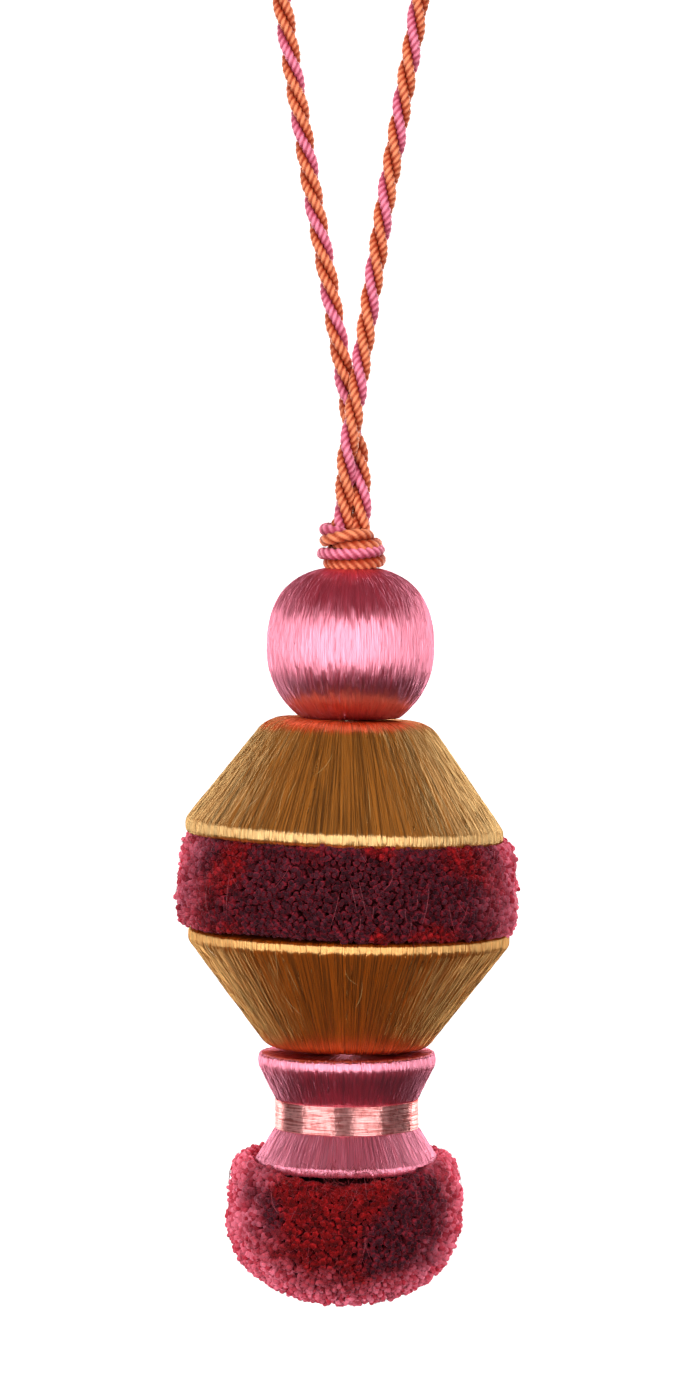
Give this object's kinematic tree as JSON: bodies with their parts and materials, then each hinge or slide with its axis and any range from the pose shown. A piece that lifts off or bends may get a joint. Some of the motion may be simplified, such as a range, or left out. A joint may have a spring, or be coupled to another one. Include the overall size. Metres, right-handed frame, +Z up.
{
  "type": "tassel",
  "caption": "Decorative tassel hung by a twisted cord loop: a ball, two cones back to back round a band of cut pile, a waisted spool and a pompom.",
  "frame": {"origin": "the underside of the top of the cord loop, where a hook or a knob bears", "axes": "+Z up, along the tassel's length; the front in the picture faces -Y"},
  "size_m": [0.0624, 0.0623, 0.2614],
  "materials": {
    "cord": "orange and pink twisted yarn, low sheen",
    "satin_pink": "pink floss silk, glossy along the threads",
    "satin_gold": "old-gold floss silk, glossy along the threads",
    "satin_rose": "pale rose satin thread, very glossy",
    "pile": "burgundy cut pile, matt"
  },
  "bodies": {
    "root": {"hanging_loop": "cord", "knot": "cord", "ball": "satin_pink", "upper_cone": "satin_gold", "pile_band": "pile", "lower_cone": "satin_gold", "spool": "satin_pink", "waist_binding": "satin_rose", "pompom": "pile"}
  },
  "joints": []
}
